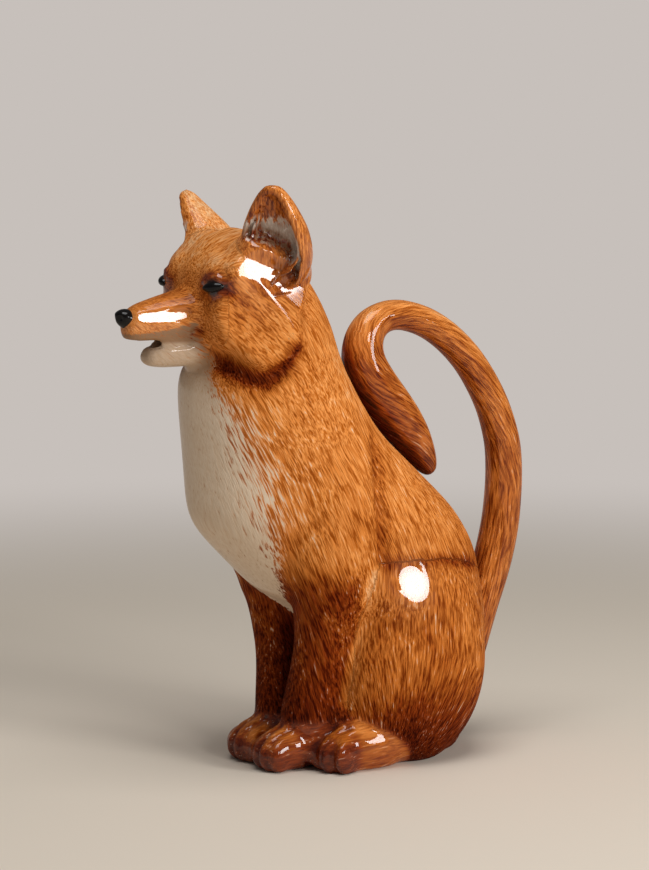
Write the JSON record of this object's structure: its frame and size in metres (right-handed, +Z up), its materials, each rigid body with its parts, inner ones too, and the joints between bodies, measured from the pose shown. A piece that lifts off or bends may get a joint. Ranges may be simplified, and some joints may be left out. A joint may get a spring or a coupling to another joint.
{
  "type": "figural jug",
  "caption": "Glazed earthenware jug modelled as a seated fox, with its curled tail as the handle and its open mouth as the spout.",
  "frame": {"origin": "on the standing plane, in the fox's mid-plane, under the middle of the body", "axes": "+Z up, -Y the way the fox looks and pours, +X the fox's left side"},
  "size_m": [0.1088, 0.241, 0.2985],
  "materials": {
    "orange_glaze": "high gloss clear glaze over hand-painted orange-brown fur",
    "brown_glaze": "high gloss clear glaze over red-brown stockings and feet",
    "black_glaze": "mirror-bright black glaze"
  },
  "bodies": {
    "root": {"torso": "orange_glaze", "head": "orange_glaze", "ear_left": "orange_glaze", "ear_right": "orange_glaze", "foreleg_left": "brown_glaze", "foreleg_right": "brown_glaze", "hind_foot_left": "brown_glaze", "hind_foot_right": "brown_glaze", "tail_handle": "orange_glaze", "nose": "black_glaze", "eye_left": "black_glaze", "eye_right": "black_glaze"}
  },
  "joints": []
}
